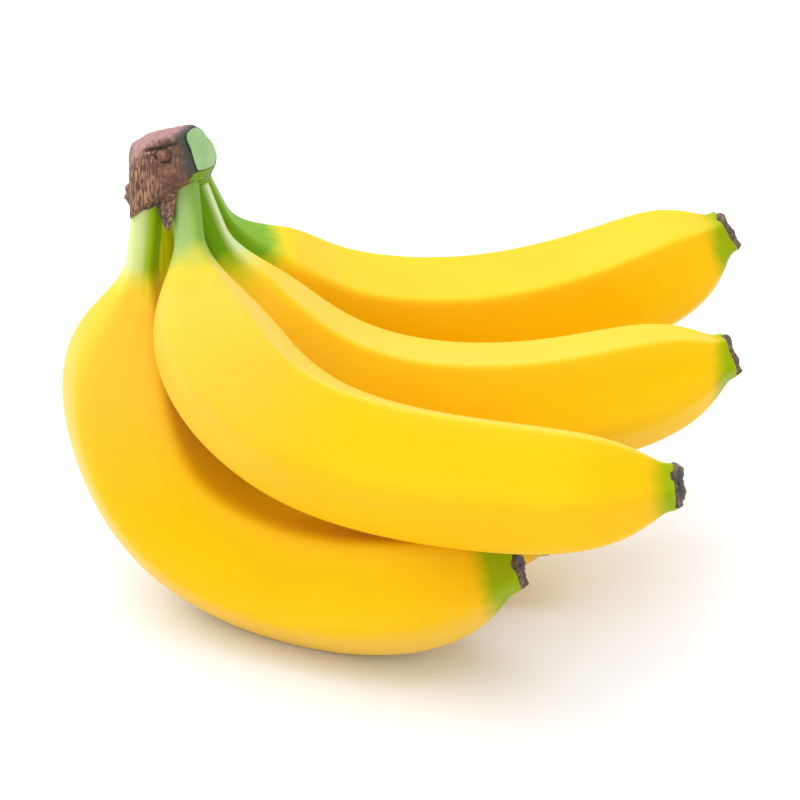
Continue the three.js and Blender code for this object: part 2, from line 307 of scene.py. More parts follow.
# Crown bark: banana tissue dried to a brown cork with straw-coloured fibres, on green living tissue
barkLook = {
    "brown": "#855B4A",
    "darkBrown": "#4E322A",
    "straw": "#C69B72",
    "topBrown": "#B58A8A",
    # painted shade in the crevice under the top's lip and in the groove round the knot
    "creviceShade": "#2B1E1B",
    "slate": "#3A433C",
    "rim": "#1F2A26",
    "freshGreen": "#6E9C22",
    "cutGreen": "#98BD80",
    "cutDeep": "#8BB272",
    "fibre": 0.5,  # mm across a dry fibre
    "grain": 1.6,  # mm, brown mottling
    "broad": 6,  # mm, slow change between bark with straw and without, and along the slate's edge
    "slateWidth": 6,  # mm of slate-green bark beside the cut
    "slateSway": 1.8,  # mm that its edge swings to either side
}


def barkMaterial():
    look = barkLook
    material, tree = newMaterial("dried_crown_bark")
    place = addNode(tree, "TexCoord").outputs["Object"]
    zones = addNode(tree, "Attribute", attribute_name="crownZones").outputs["Vector"]
    rimDistance, fresh, top = addNode(tree, "SeparateXYZ", {0: zones}).outputs
    marks = addNode(tree, "Attribute", attribute_name="crownShadeAndStraw").outputs["Vector"]
    creviceShade, groove, straw = addNode(tree, "SeparateXYZ", {0: marks}).outputs
    edges = addNode(tree, "Attribute", attribute_name="crownTorn").outputs["Vector"]
    torn = addNode(tree, "SeparateXYZ", {0: edges}).outputs[0]
    upright = addNode(tree, "Mapping", {"Vector": place, "Scale": (1.0, 1.0, 0.13)}).outputs[0]
    fibres = addNode(
        tree, "TexNoise", {"Vector": upright, "Scale": 1 / (look["fibre"] * mm), "Detail": 3.0}
    )
    grain = addNode(
        tree,
        "TexNoise",
        {"Vector": place, "Scale": 1 / (look["grain"] * mm), "Detail": 6.0, "Roughness": 0.65},
    )
    broad = addNode(tree, "TexNoise", {"Vector": place, "Scale": 1 / (look["broad"] * mm), "Detail": 3.0})

    # Brown mottled with dark, with straw fibres standing out of it
    grainShare = addNode(tree, "MapRange", {0: grain.outputs[0], 1: 0.38, 2: 0.62, 3: 0.0, 4: 0.9})
    brown = blendColours(tree, grainShare.outputs[0], linear(look["darkBrown"]), linear(look["brown"]))
    fibreShare = addNode(tree, "MapRange", {0: fibres.outputs[0], 1: 0.46, 2: 0.66, 3: 0.0, 4: 0.85})
    fibrePick = addNode(tree, "MapRange", {0: broad.outputs[0], 1: 0.42, 2: 0.6, 3: 0.05, 4: 0.6})
    fibrePick = addNode(tree, "Math", {0: straw, 1: fibrePick.outputs[0]}, operation="MAXIMUM")
    fibreAmount = addNode(
        tree, "Math", {0: fibreShare.outputs[0], 1: fibrePick.outputs[0]}, operation="MULTIPLY"
    )
    brown = blendColours(tree, fibreAmount.outputs[0], brown, linear(look["straw"]))
    gapShare = addNode(tree, "MapRange", {0: fibres.outputs[0], 1: 0.46, 2: 0.34, 3: 0.0, 4: 0.5})
    gapAmount = addNode(tree, "Math", {0: gapShare.outputs[0], 1: straw}, operation="MULTIPLY")
    brown = blendColours(tree, gapAmount.outputs[0], brown, linear(look["darkBrown"]))
    topSway = addNode(tree, "MapRange", {0: grain.outputs[0], 1: 0.3, 2: 0.7, 3: -0.3, 4: 0.3})
    topLine = addNode(tree, "Math", {0: top, 1: topSway.outputs[0]}, operation="ADD")
    topShare = addNode(tree, "MapRange", {0: topLine.outputs[0], 1: 0.3, 2: 1.0, 3: 0.0, 4: 0.75})
    brown = blendColours(tree, topShare.outputs[0], brown, linear(look["topBrown"]))
    # Painted shade: near black in the crevice under the top's lip and in the groove round the knot
    hollow = addNode(tree, "Math", {0: creviceShade, 1: groove}, operation="MAXIMUM")
    hollowShadeShare = addNode(tree, "MapRange", {0: hollow.outputs[0], 1: 0.35, 2: 0.9, 3: 0.0, 4: 0.85})
    brown = blendColours(tree, hollowShadeShare.outputs[0], brown, linear(look["creviceShade"]))

    # Slate green towards the cut, black at its rim, pale green flesh on the cut and green underneath
    swing = look["slateSway"]
    sway = addNode(tree, "MapRange", {0: broad.outputs[0], 1: 0.3, 2: 0.7, 3: -swing, 4: swing})
    swayed = addNode(tree, "Math", {0: rimDistance, 1: sway.outputs[0]}, operation="ADD")
    slateShare = addNode(
        tree, "MapRange", {0: swayed.outputs[0], 1: -look["slateWidth"], 2: -1.0, 3: 0.0, 4: 0.95}
    )
    slateShare = addNode(tree, "Math", {0: slateShare.outputs[0], 1: torn}, operation="MAXIMUM")
    outside = blendColours(tree, slateShare.outputs[0], brown, linear(look["slate"]))
    grainSway = addNode(tree, "MapRange", {0: grain.outputs[0], 1: 0.3, 2: 0.7, 3: -0.3, 4: 0.3})
    freshLine = addNode(tree, "Math", {0: fresh, 1: grainSway.outputs[0]}, operation="ADD")
    freshShare = addNode(
        tree,
        "MapRange",
        {0: freshLine.outputs[0], 1: 0.3, 2: 0.8, 3: 0.0, 4: 1.0},
        interpolation_type="SMOOTHSTEP",
    )
    outside = blendColours(tree, freshShare.outputs[0], outside, linear(look["freshGreen"]))
    rimNoise = addNode(tree, "MapRange", {0: grain.outputs[0], 1: 0.3, 2: 0.7, 3: -0.12, 4: 0.12})
    rimLine = addNode(tree, "Math", {0: rimDistance, 1: rimNoise.outputs[0]}, operation="ADD")
    cutShare = addNode(tree, "MapRange", {0: rimLine.outputs[0], 1: -0.1, 2: 0.2, 3: 0.0, 4: 1.0})
    acrossRim = addNode(tree, "MapRange", {0: rimLine.outputs[0], 1: -0.9, 2: 0.35, 3: 0.0, 4: 1.0})
    none, full = (0, 0, 0, 1), (1, 1, 1, 1)
    rimShare = addNode(
        tree,
        "ValToRGB",
        {0: acrossRim.outputs[0]},
        ramp=[(0.0, none), (1.0, none), (0.55, full), (0.8, full)],
    )
    cutTone = addNode(tree, "MapRange", {0: broad.outputs[0], 1: 0.35, 2: 0.65, 3: 0.0, 4: 1.0})
    cutDeep = linear(look["cutDeep"])
    cutColour = blendColours(tree, cutTone.outputs[0], linear(look["cutGreen"]), cutDeep)
    colour = blendColours(tree, cutShare.outputs[0], outside, cutColour)
    colour = blendColours(tree, rimShare.outputs[0], colour, linear(look["rim"]))

    # Dry and dull outside, moist on the cut
    soft = addNode(tree, "Math", {0: cutShare.outputs[0], 1: freshShare.outputs[0]}, operation="MAXIMUM")
    rough = addNode(tree, "MapRange", {0: soft.outputs[0], 1: 0.0, 2: 1.0, 3: 0.82, 4: 0.42}).outputs[0]
    dryness = addNode(tree, "MapRange", {0: soft.outputs[0], 1: 0.0, 2: 1.0, 3: 0.9, 4: 0.12})
    relief = addNode(tree, "Math", {0: fibres.outputs[0], 1: grain.outputs[0]}, operation="ADD")
    bump = addNode(
        tree,
        "Bump",
        {"Strength": dryness.outputs[0], "Distance": 0.5 * mm, "Height": relief.outputs[0]},
    ).outputs[0]
    shader = addNode(
        tree, "BsdfPrincipled", {"Base Color": colour, "Roughness": rough, "IOR": 1.45, "Normal": bump}
    )
    addNode(tree, "OutputMaterial", {"Surface": shader.outputs[0]})
    return material


# Dried flower remains: brittle, fibrous and nearly black, dull with pale broken edges
scarLook = {
    "dark": "#453A32",
    "brown": "#806650",
    "pale": "#C4AE90",
    "face": "#3A4042",
    "fibre": 0.5,  # mm
    "blotch": 1.8,  # mm
}


def scarMaterial():
    look = scarLook
    material, tree = newMaterial("dried_flower_remains")
    place = addNode(tree, "TexCoord").outputs["Object"]
    around = addNode(tree, "Attribute", attribute_name="skinPlace").outputs["Vector"]
    grain = addNode(
        tree,
        "TexNoise",
        {"Vector": place, "Scale": 1 / (look["fibre"] * mm), "Detail": 5.0, "Roughness": 0.7},
    )
    broad = addNode(tree, "TexNoise", {"Vector": place, "Scale": 1 / (look["blotch"] * mm), "Detail": 3.0})
    strands = addNode(tree, "TexNoise", {"Vector": around, "Scale": 1.2, "Detail": 3.0})
    tone = addNode(tree, "MapRange", {0: broad.outputs[0], 1: 0.38, 2: 0.64, 3: 0.0, 4: 1.0})
    colour = blendColours(tree, tone.outputs[0], linear(look["dark"]), linear(look["brown"]))
    paleShare = addNode(tree, "MapRange", {0: grain.outputs[0], 1: 0.56, 2: 0.7, 3: 0.0, 4: 0.8})
    zones = addNode(tree, "Attribute", attribute_name="scarZones").outputs["Vector"]
    fromMiddle = addNode(tree, "SeparateXYZ", {0: zones}).outputs[0]
    faceShare = addNode(tree, "MapRange", {0: fromMiddle, 1: 0.9, 2: 0.7, 3: 0.0, 4: 0.9})
    colour = blendColours(tree, faceShare.outputs[0], colour, linear(look["face"]))
    colour = blendColours(tree, paleShare.outputs[0], colour, linear(look["pale"]))
    relief = addNode(tree, "Math", {0: strands.outputs[0], 1: grain.outputs[0]}, operation="ADD")
    bump = addNode(tree, "Bump", {"Strength": 0.9, "Distance": 0.4 * mm, "Height": relief.outputs[0]})
    shader = addNode(
        tree, "BsdfPrincipled", {"Base Color": colour, "Roughness": 0.88, "Normal": bump.outputs[0]}
    )
    addNode(tree, "OutputMaterial", {"Surface": shader.outputs[0]})
    return material


# The bunch's shared plan, with the same named values as the part's source
bunchPlan = {
    "middle": [4.16, 18.58, 0],
    "scarLength": 2.6,
    "rootDepth": 9,
    "neckShare": 0.24,
    "neckSpread": 0.1,
    "neckPower": 1.9,
    "tipShare": 0.365,
    "tipEnd": 0.026,
    "tipPower": 1.1,
    "tipRound": 0.008,
    "bellyPlace": 0.48,
    "bellyDrop": 0.22,
    "flats": 5,
    "bodySharpness": 12,
    "endSharpness": 10,
    "outerSoftness": 0.55,
    "outerFullness": 0.028,
    "ridgeRise": 0.5,
    "flatShare": 0.94,
}

# Each banana: its thickest radius; the shares of its length where the neck ends and over which the
# tip fills out; how far green runs down from the stalk and back from the tip (mm), and how much
# further on the tip's outer side; which side of the body takes painted highlight (radians from the
# outer side), between which cosines and how much, and how pale the neck is, partly its own later
# ripening and partly painted highlight; the same painted highlight for the stalk, and how yellow it
# is; how much crisper its inner ridges are than the part's; the slope of the flower scar's face;
# and the points that its spine runs through
bananas = {
    "banana_1_lower": {
        "radius": 19.3,
        "neckEnd": 0.074,
        "tipSpread": 0.056,
        "stalkGreen": 21,
        "tipGreen": 11,
        "tipTilt": 0,
        "highlightSide": 0.0,
        "highlightEdge": [0.1, 1.0],
        "bodyHighlight": 0.8,
        "neckPaleAndHighlight": 0.5,
        "stalkHighlightSide": -0.6,
        "stalkHighlightEdge": [-0.25, 0.55],
        "stalkHighlight": 0.82,
        "stalkRipe": 0.25,
        "ridgeCrispness": -0.4,
        "faceTilt": 0.05,
        "spine": [
            [-69.1, 22.6, 114], [-72.7, 20, 88.5], [-76.2, 15.9, 63.5], [-68.5, 7.2, 37.5],
            [-50.4, -3.2, 22.4], [-24.2, -15.2, 18.2], [4, -27, 23.5], [33.6, -29, 31.6],
        ],
    },
    "banana_2_front": {
        "radius": 17.9,
        "neckEnd": 0.063,
        "tipSpread": 0.07,
        "stalkGreen": 21,
        "tipGreen": 6.5,
        "tipTilt": 0,
        "highlightSide": 3.14,
        "highlightEdge": [0.74, 0.86],
        "bodyHighlight": 0.8,
        "neckPaleAndHighlight": 0.7,
        "stalkHighlightSide": -1.0,
        "stalkHighlightEdge": [-0.4, 0.7],
        "stalkHighlight": 0.33,
        "stalkRipe": 0.0,
        "ridgeCrispness": 0.7,
        "faceTilt": 0.2,
        "spine": [
            [-58.6, 22, 118], [-55, 8, 95], [-45.9, -5.1, 78.1], [-28, -16.6, 65.8],
            [-4, -26, 60.6], [22, -35, 60.6], [48, -43, 63], [72.8, -46, 66],
        ],
    },
    "banana_3_middle": {
        "radius": 18.1,
        "neckEnd": 0.07,
        "tipSpread": 0.058,
        "stalkGreen": 26,
        "tipGreen": 7.5,
        "tipTilt": 3,
        "highlightSide": 3.14,
        "highlightEdge": [0.74, 0.86],
        "bodyHighlight": 0.5,
        "neckPaleAndHighlight": 0.2,
        "stalkHighlightSide": 3.14,
        "stalkHighlightEdge": [0.5, 0.9],
        "stalkHighlight": 0.62,
        "stalkRipe": 0.0,
        "ridgeCrispness": 0.7,
        "faceTilt": 0.05,
        "spine": [
            [-57, 37, 113], [-47, 33, 87], [-34, 29, 68], [-12, 25, 56],
            [14, 22, 52], [41, 21, 53.5], [68, 20, 60.5], [95, 22, 69.8],
        ],
    },
    "banana_4_back": {
        "radius": 18.8,
        "neckEnd": 0.07,
        "tipSpread": 0.05,
        "stalkGreen": 34,
        "tipGreen": 9,
        "tipTilt": 3,
        "highlightSide": 3.14,
        "highlightEdge": [0.74, 0.86],
        "bodyHighlight": 0.25,
        "neckPaleAndHighlight": 0.0,
        "stalkHighlightSide": 3.14,
        "stalkHighlightEdge": [0.5, 0.9],
        "stalkHighlight": 0.05,
        "stalkRipe": 0.0,
        "ridgeCrispness": 0.7,
        "faceTilt": 0.05,
        "spine": [
            [-58, 54, 109], [-45.8, 61.5, 80.6], [-26.2, 68.9, 60.9], [0, 70.8, 54.4],
            [26, 72.8, 54.3], [51, 75.3, 58.8], [76, 77.3, 68.2], [100.2, 80, 82.3],
        ],
    },
    "banana_5_under": {
        "radius": 16.2,
        "neckEnd": 0.07,
        "tipSpread": 0.06,
        "stalkGreen": 23,
        "tipGreen": 2,
        "tipTilt": 0,
        "highlightSide": 0.0,
        "highlightEdge": [0.1, 1.0],
        "bodyHighlight": 0.3,
        "neckPaleAndHighlight": 0.2,
        "stalkHighlightSide": 0.0,
        "stalkHighlightEdge": [0.1, 0.8],
        "stalkHighlight": 0.2,
        "stalkRipe": 0.7,
        "ridgeCrispness": 0,
        "faceTilt": 0.05,
        "spine": [
            [-66, 35, 108], [-65.8, 45.7, 80], [-60.6, 47.9, 53.5], [-47.4, 47, 33.8],
            [-27, 41, 20.2], [-5, 30.5, 15.8], [19, 15.5, 16.4], [43, -1, 23],
        ],
    },
}


# A spine: a natural cubic spline through points at equal steps, measured by length.
# Gives place and heading at shares of the way; a share below zero runs straight on into the crown
class Spine:
    def __init__(self, points):
        self.points = np.array(points, float) - bunchPlan["middle"]
        count = len(self.points)
        turns = self.points[2:] - 2 * self.points[1:-1] + self.points[:-2]
        weights = 4 * np.eye(count - 2) + np.eye(count - 2, k=1) + np.eye(count - 2, k=-1)
        self.bends = np.zeros_like(self.points)
        self.bends[1:-1] = np.linalg.solve(weights, 6 * turns)
        self.samples = np.linspace(0, 1, 401)
        steps = np.linalg.norm(np.diff(self.curve(self.samples), axis=0), axis=1)
        self.walked = np.concatenate([[0], np.cumsum(steps)])
        self.length = self.walked[-1]
        root, half, tip = self.curve(np.array([0, 0.5, 1]))
        self.across = unit(np.cross(half - root, tip - half))

    # Blends the two nearest points and their bends
    def curve(self, share):
        last = len(self.points) - 1
        place = np.clip(share, 0, 1) * last
        i = np.minimum(place.astype(int), last - 1)
        b = (place - i)[..., None]
        a = 1 - b
        p, m = self.points, self.bends
        return a * p[i] + b * p[i + 1] + (a**3 - a) / 6 * m[i] + (b**3 - b) / 6 * m[i + 1]

    def pointAt(self, share):
        inside = self.curve(np.interp(share * self.length, self.walked, self.samples))
        start = self.curve(np.array([0, 1 / 400]))
        back = unit(start[0] - start[1])
        return inside + np.maximum(-share, 0)[..., None] * self.length * back

    # Point, heading, outer side (away from the bend) and side, each as an array over shares
    def frameAt(self, share):
        step = 0.002
        ahead = np.where(share + step > 1, share, share + step)
        along = unit(self.pointAt(ahead) - self.pointAt(share - step))
        outer = unit(-np.cross(self.across, along))
        return self.pointAt(share), along, outer, np.cross(along, outer)


# Rises from 0 to 1 past a start: one less the exponential of minus the distance to a power
def swell(share, start, spread, power):
    return 1 - np.exp(-((np.maximum(share - start, 0) / spread) ** power))


# Girth along a banana: the stalk's rise times the tip's rise times a shallow parabola for the belly
def girth(plan, share):
    shared = bunchPlan
    neck = swell(share, plan["neckEnd"], shared["neckSpread"], shared["neckPower"])
    neck = shared["neckShare"] + (1 - shared["neckShare"]) * neck
    past = 1 - share - shared["tipEnd"]
    past = (past + np.sqrt(past**2 + shared["tipRound"] ** 2)) / 2  # eases the start of the widening
    tip = swell(past, 0, plan["tipSpread"], shared["tipPower"])
    tip = shared["tipShare"] + (1 - shared["tipShare"]) * tip
    return neck * tip * (1 - shared["bellyDrop"] * (share - shared["bellyPlace"]) ** 2)


# A soft five-sided section: the soft minimum of five flats' distances in a direction
def softFlats(angle, sharpness):
    total = 0
    for i in range(bunchPlan["flats"]):
        facing = np.cos(angle - (i + 0.5) * 2 * np.pi / bunchPlan["flats"])
        total = total + np.maximum(facing, 0) ** sharpness
    return bunchPlan["flatShare"] / total ** (1 / sharpness)


fruitShape = {
    "around": 200,
    "rows": 380,
    "capRows": 6,
    "capRound": 0.8,  # mm of rounding at the tip's end, under the flower remains
    "swellDepth": 0.08,  # mm of slow swelling over the skin
    "stalkSoftness": 0.4,  # rounds the ridges on the stalk
    "furrowDepth": 0.03,  # mm of the furrows that run up the stalk
    "furrows": 13,
    "furrowStart": [4, 16],  # mm from the spine's start, where they fade in
    "furrowEnd": [30, 52],  # and out
    "bodyStart": [25, 60],  # mm over which the stalk's section turns into the body's
    "swellRound": 1.6,  # cells of swelling to a radius
    "swellLength": 24,  # mm along
    "highlightStart": [20, 45],  # mm over which the body's painted highlight sets in
    "neckEnd": [30, 100],  # mm over which the neck's paleness ends, partly its own and partly painted highlight
}


# A banana: rings of girth times section round the spine, cut flat where it rests.
# Rows are closer together at both ends by a cosine step
def makeBanana(name, plan, seed):
    spine = plan["line"]
    shape = fruitShape
    first = -bunchPlan["rootDepth"] / spine.length
    last = 1 - bunchPlan["scarLength"] / spine.length
    even = np.linspace(0, 1, shape["rows"])
    steps = 0.45 * (1 - np.cos(np.pi * even)) / 2 + 0.55 * even
    share = first + (last - first) * steps
    capTurn = np.linspace(0, np.pi / 2, shape["capRows"] + 1)[1:]
    share = np.concatenate([share, np.full(shape["capRows"], last)])
    shrink = np.concatenate([np.zeros(shape["rows"]), 1 - np.cos(capTurn)]) * shape["capRound"]
    ahead = np.concatenate([np.zeros(shape["rows"]), np.sin(capTurn)]) * shape["capRound"] * 0.5

    angle = np.arange(shape["around"]) * 2 * np.pi / shape["around"]
    point, along, outer, side = spine.frameAt(share)
    body = np.sin(np.pi * np.clip(share, 0, 1)) ** bunchPlan["ridgeRise"]
    middling = bunchPlan["endSharpness"] + (bunchPlan["bodySharpness"] - bunchPlan["endSharpness"]) * body
    sharpness = middling[:, None] * (1 - bunchPlan["outerSoftness"] * np.cos(angle))
    length = share * spine.length
    onStalk = 1 - ease(length, *shape["bodyStart"])
    crisp = plan["ridgeCrispness"] * np.maximum(-np.cos(angle), 0) ** 2
    sharpness = sharpness * (1 + (body * (1 - onStalk))[:, None] * crisp)
    sharpness = sharpness * (1 - shape["stalkSoftness"] * onStalk)[:, None]
    section = softFlats(angle[None, :], sharpness) * (1 + bunchPlan["outerFullness"] * np.cos(angle))
    thick = girth(plan, np.maximum(share, 0))[:, None]
    radius = plan["radius"] * thick * section

    circle = np.stack([np.cos(angle), np.sin(angle)], -1)
    cells = tubePlace(circle[None] * shape["swellRound"], length[:, None] / shape["swellLength"])
    radius = radius + shape["swellDepth"] * layeredNoise(cells + 11 * seed, seed) * body[:, None]
    furrows = np.cos(shape["furrows"] * angle + 2.0 * np.sin(3 * angle + seed))[None, :]
    onNeck = ease(length, *shape["furrowStart"]) * (1 - ease(length, *shape["furrowEnd"]))
    radius = radius + shape["furrowDepth"] * furrows * onNeck[:, None]
    radius = np.maximum(radius - shrink[:, None], 0.2)

    rings = ringsRound((point, along, outer, side), angle, radius, ahead[:, None])
    rings[..., 2] = np.maximum(rings[..., 2], 0)
    lastPoint = point[-1] + along[-1] * ahead[-1]

    # Where the skin's fibres run, and how far each point is from the ends of the green
    fibreCells = circle[None] * plan["radius"] / peelLook["fibreWidth"] * thick[..., None]
    skinPlace = tubePlace(fibreCells, length[:, None] / peelLook["fibreLength"]) + 5.7 * seed
    ridge = ease(section, bunchPlan["flatShare"] * 0.985, section.max() * 0.995)
    fromStalk = (length - plan["stalkGreen"])[:, None] + 0 * angle[None, :]
    fromTip = (spine.length - length - plan["tipGreen"])[:, None] - plan["tipTilt"] * np.cos(angle)
    skinZones = np.stack([fromStalk, fromTip, ridge], -1)

    # Painted highlight: paler skin on the lit side of the body and of the stalk. Paler near the neck,
    # partly its own later ripening and partly painted highlight
    bodyHighlightShare = ease(np.cos(angle - plan["highlightSide"]), *plan["highlightEdge"])
    bodyHighlightShare = plan["bodyHighlight"] * bodyHighlightShare * ease(length, *shape["highlightStart"])[:, None]
    neckPaleAndHighlightShare = plan["neckPaleAndHighlight"] * (1 - ease(length, *shape["neckEnd"]))[:, None]
    stalkHighlightShare = plan["stalkHighlight"] * ease(np.cos(angle - plan["stalkHighlightSide"]), *plan["stalkHighlightEdge"])
    stalkHighlightShare = stalkHighlightShare[None, :] + 0 * length[:, None]
    ripeStalk = plan["stalkRipe"] + 0 * stalkHighlightShare
    skinTonesAndHighlights = np.stack([np.maximum(bodyHighlightShare, neckPaleAndHighlightShare), stalkHighlightShare, ripeStalk], -1)
    attributes = {
        "skinPlace": withEnds(skinPlace),
        "skinZones": withEnds(skinZones),
        "skinTonesAndHighlights": withEnds(skinTonesAndHighlights),
    }
    return closedMesh(name + "_peel", rings, point[0], lastPoint, attributes)


scarShape = {
    "around": 120,
    "wallRows": 26,
    "floorRows": 14,
    "sink": 0.9,  # mm that it reaches back into the tip
    "radiusShare": 0.9,
    "raggedDepth": 0.2,  # mm
    "rimLift": 0.25,  # mm
    "dimple": 0.8,  # mm from the rim down to its hollow middle
    "rimBelow": 0.7,  # mm that the rim stays short of the part's outer face
    "fibresRound": 8,  # cells of fibre noise to a radius
}


# Flower remains: a cup whose wall bulges a little and whose rim is torn, hollow in the middle.
# The radius is the tip's, times a shallow arch, plus fibre noise that grows towards the rim
def makeScar(name, plan, seed):
    spine = plan["line"]
    shape = scarShape
    reach = bunchPlan["scarLength"] + shape["sink"]
    up = np.linspace(0, 1, shape["wallRows"])
    inward = np.linspace(1, 0.04, shape["floorRows"])[1:]
    heightShare = np.concatenate([up, np.full(shape["floorRows"] - 1, 1.0)])
    radial = np.concatenate([np.ones(shape["wallRows"]), inward])
    angle = np.arange(shape["around"]) * 2 * np.pi / shape["around"]
    share = np.full(len(heightShare), 1 - reach / spine.length)
    point, along, outer, side = spine.frameAt(share)
    ragged = 0.02 * np.sin(3 * angle + seed) + 0.015 * np.sin(7 * angle + 2 * seed)
    arch = 0.93 + 0.1 * np.sin(np.pi * np.minimum(heightShare, 1)) - 0.03 * heightShare
    base = plan["radius"] * bunchPlan["tipShare"] * shape["radiusShare"]
    circle = np.stack([np.cos(angle), np.sin(angle)], -1)
    cells = tubePlace(circle[None] * shape["fibresRound"] * radial[:, None, None], heightShare[:, None] * 2)
    rough = layeredNoise(cells + 3.1 * seed, 40 + seed)
    radius = base * (1 + ragged)[None, :] * arch[:, None] * radial[:, None]
    torn = ((0.1 + 0.9 * heightShare) * radial)[:, None]
    radius = radius + shape["raggedDepth"] * rough * torn
    rimLift = shape["rimLift"] * (np.sin(5 * angle + seed)[None, :] + 1.3 * rough)
    hollow = shape["dimple"] * (1 - radial[:, None] ** 2) * (0.6 + 0.8 * rough)
    up = heightShare[:, None]
    height = up * (reach - shape["rimBelow"]) + up**3 * rimLift - hollow
    height = height + plan["faceTilt"] * up * radius * np.sin(angle)
    rings = ringsRound((point, along, outer, side), angle, radius, height)
    scarZones = np.stack([radial[:, None] + 0 * radius, up + 0 * radius, rough], -1)
    attributes = {
        "skinPlace": withEnds(tubePlace(circle[None] * 7, height / 3)),
        "scarZones": withEnds(scarZones),
    }
    return closedMesh(name, rings, point[0], rings[-1].mean(0), attributes)


# The crown: a rounded block, cut off along one plane, its bark running down over the stalks
crownShape = {
    "rows": 330,
    "columns": 256,
    "stretch": [11, 22, 13],  # mm, spreads the grid's directions to suit the long block
    "centre": [-63, 30, 121],
    "sharpness": 16,  # of the corners between its flats
    "cutRound": 0.5,  # mm, as are the depths, widths and heights below
    "fibreDepth": 0.35,
    "fibreSize": [1.1, 1.1, 9],
    "lumpDepth": 0.55,
    "lumpSize": 4.5,
    "gritSize": 1.7,
    "creviceDepth": 0.9,
    "creviceWidth": 0.7,
    "creviceEnd": [0.8, 3],  # mm before the cut, over which it fades
    "lipDrop": 1.8,  # from the top down to the crevice
    "knot": [-63.2, 15.4, 131.7],  # in the spines' frame: an old leaf scar on the front
    "knotSize": 2.3,
    "knotDepth": 0.7,
    "grooveWidth": 0.3,  # share of the knot's size, as is the next
    "knobWidth": 0.7,
    "strawFrom": [-61, -69],  # in the spines' frame: the bark splits into straw towards this end
    "collarHeight": 0.7,
    "collarWidth": 0.7,
    "stubBark": 1.0,  # mm of bark over the back stalk's root
    "stubFade": [-1.8, -0.8],  # mm above that root's end
    "stubReach": [-4, 0.5],  # mm down the stalk, in front and behind
    "freshFrom": [-58.5, -54.5],  # mm in the spines' frame: bark gives way to green tissue
    "freshBack": [46, 36],  # mm in the spines' frame: and back to bark, away from the cut
}

crownFlats = {
    "front": {"out": [-0.12, -0.98, 0.1], "at": [-64, 15, 127]},
    "left": {"out": [-0.98, -0.1, 0.04], "at": [-73, 20, 125]},
    "topLeft": {"out": [-0.75, -0.1, 0.62], "at": [-72, 20, 129.6]},
    "top": {"out": [-0.28, -0.04, 0.96], "at": [-62, 20, 136.8]},
    "topRight": {"out": [0.67, 0.45, 0.59], "at": [-52, 21.2, 135.8]},
    "topBack": {"out": [-0.12, 0.6, 0.78], "at": [-62, 25, 136]},
    "right": {"out": [0.98, 0.2, -0.02], "at": [-49.5, 21.5, 130.5]},
    "back": {"out": [0.1, 0.98, 0.15], "at": [-58, 60, 112]},
    "backLeft": {"out": [-0.7, 0.7, 0.1], "at": [-70, 42, 118]},
    "bottom": {"out": [0.5, -0.42, -0.76], "at": [-54, 15.5, 126.6]},
    "bottomBack": {"out": [-0.1, 0.1, -0.98], "at": [-60, 46, 105]},
}
crownCut = {"out": [0.78, -0.52, 0.34], "at": [-55.6, 15.1, 133.8]}

# Bark that runs down over a stalk: how far down its edge lies in the middle, how far the edge draws
# back towards its sides, where it faces and how wide it wraps to either side, its torn teeth, its
# curled edge, how far it leans off the stalk, and how far in from its edge it is dark
barkSkirts = {
    "banana_1_lower": {
        "down": -1.5, "back": 4, "facing": -1.2, "halves": [2.4, 2.4],
        "taper": 6, "teeth": 0.8, "flare": 0.9, "lean": [0, 0, 0], "dark": 2.4,
    },
    "banana_2_front": {
        "down": 11.5, "back": 13, "facing": -1.4, "halves": [1.5, 0.7],
        "taper": 1.2, "teeth": 0.4, "flare": 0.1, "lean": [-2.2, 0, 0], "dark": 1.2,
    },
    "banana_5_under": {
        "down": 1.0, "back": 5, "facing": 0.0, "halves": [2.4, 2.4],
        "taper": 6, "teeth": 1.0, "flare": 0.6, "lean": [0, 0, 0], "dark": 2.0,
    },
    "banana_4_back": {
        "down": 2.5, "back": 4, "facing": 0.9, "halves": [1.6, 1.6],
        "taper": 5, "teeth": 1.0, "flare": 0.5, "lean": [0, 0, 0], "dark": 1.6,
    },
}
skirtThickness = 1.3
skirtTop = 6  # mm up the stalk, inside the crown, where the skirts start
skirtEdge = 0.8  # mm over which their edge thins out


# Where rays from the centre leave a round stalk: the far root of the quadratic for the distance
# from the axis. Gives that distance, how far down the stalk it is, and the angle round it
def leaveStalk(direction, centre, line, radius):
    axisPoint, axis, outer, side = line
    offset = centre - axisPoint
    offsetFlat = offset - (offset @ axis) * axis
    rayFlat = direction - (direction @ axis)[..., None] * axis
    a = np.maximum((rayFlat**2).sum(-1), 1e-6)
    b = rayFlat @ offsetFlat
    c = offsetFlat @ offsetFlat - radius**2
    inside = b * b - a * c
    distance = (-b + np.sqrt(np.maximum(inside, 0))) / a
    hit = centre + distance[..., None] * direction - axisPoint
    down = hit @ axis
    around = np.arctan2(hit @ side, hit @ outer)
    return np.where(inside > 0, distance, 0), down, around


